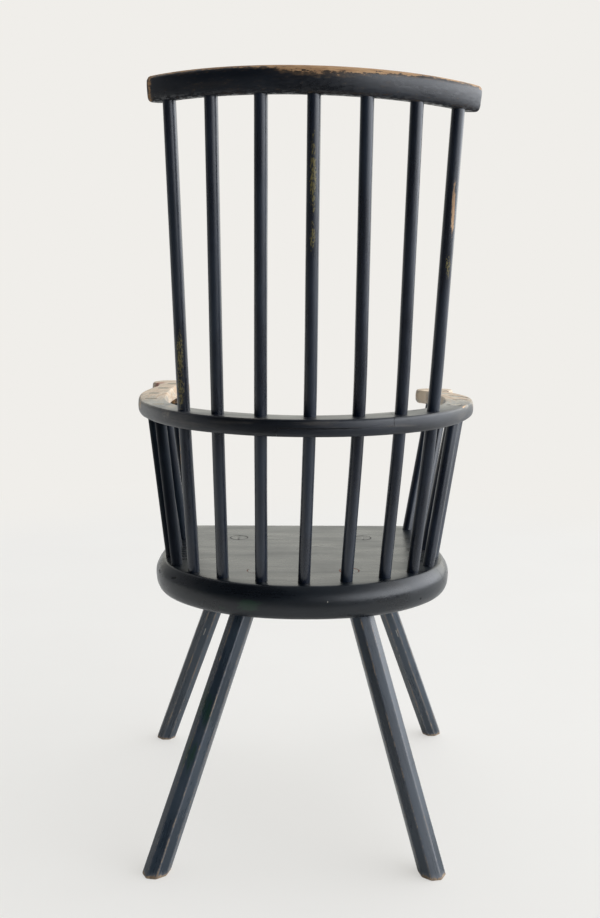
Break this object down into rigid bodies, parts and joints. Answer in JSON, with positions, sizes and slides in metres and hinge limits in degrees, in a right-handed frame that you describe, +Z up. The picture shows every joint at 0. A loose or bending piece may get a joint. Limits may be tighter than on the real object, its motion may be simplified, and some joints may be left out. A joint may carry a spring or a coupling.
{
  "type": "comb-back windsor chair",
  "caption": "Black-painted comb-back stick armchair with a plank seat, wedged octagonal legs, a lapped arm bow and a curved comb.",
  "frame": {"origin": "on the floor, under the middle of the whole chair", "axes": "+Z up, the sitter faces -Y, the sitter's left is +X"},
  "size_m": [0.587, 0.5715, 1.1675],
  "materials": {
    "seat_paint": "worn satin black paint on a hardwood board",
    "leg_paint": "satin black paint, rubbed through along the arrises",
    "arm_paint": "black paint worn to pale wood at the hand-holds",
    "comb_paint": "black paint worn to tan wood along the top edge",
    "stick_paint": "satin blue-black paint with a few olive rubbed streaks",
    "wedge_paint": "worn paint over end grain"
  },
  "bodies": {
    "root": {"seat": "seat_paint", "leg_front_left": "leg_paint", "leg_front_right": "leg_paint", "leg_rear_left": "leg_paint", "leg_rear_right": "leg_paint", "leg_wedge_front_left": "wedge_paint", "leg_wedge_front_right": "wedge_paint", "leg_wedge_rear_left": "wedge_paint", "leg_wedge_rear_right": "wedge_paint", "arm_left": "arm_paint", "arm_right": "arm_paint", "comb": "comb_paint", "back_stick_centre": "stick_paint", "back_stick_left_1": "stick_paint", "back_stick_left_2": "stick_paint", "back_stick_left_3": "stick_paint", "back_stick_right_1": "stick_paint", "back_stick_right_2": "stick_paint", "back_stick_right_3": "stick_paint", "short_stick_left_1": "stick_paint", "short_stick_left_2": "stick_paint", "short_stick_left_3": "stick_paint", "short_stick_left_4": "stick_paint", "short_stick_left_5": "stick_paint", "short_stick_right_1": "stick_paint", "short_stick_right_2": "stick_paint", "short_stick_right_3": "stick_paint", "short_stick_right_4": "stick_paint", "short_stick_right_5": "stick_paint", "arm_wedge_left_1": "wedge_paint", "arm_wedge_left_2": "wedge_paint", "arm_wedge_left_3": "wedge_paint", "arm_wedge_left_4": "wedge_paint", "arm_wedge_left_5": "wedge_paint", "arm_wedge_right_1": "wedge_paint", "arm_wedge_right_2": "wedge_paint", "arm_wedge_right_3": "wedge_paint", "arm_wedge_right_4": "wedge_paint", "arm_wedge_right_5": "wedge_paint"}
  },
  "joints": []
}
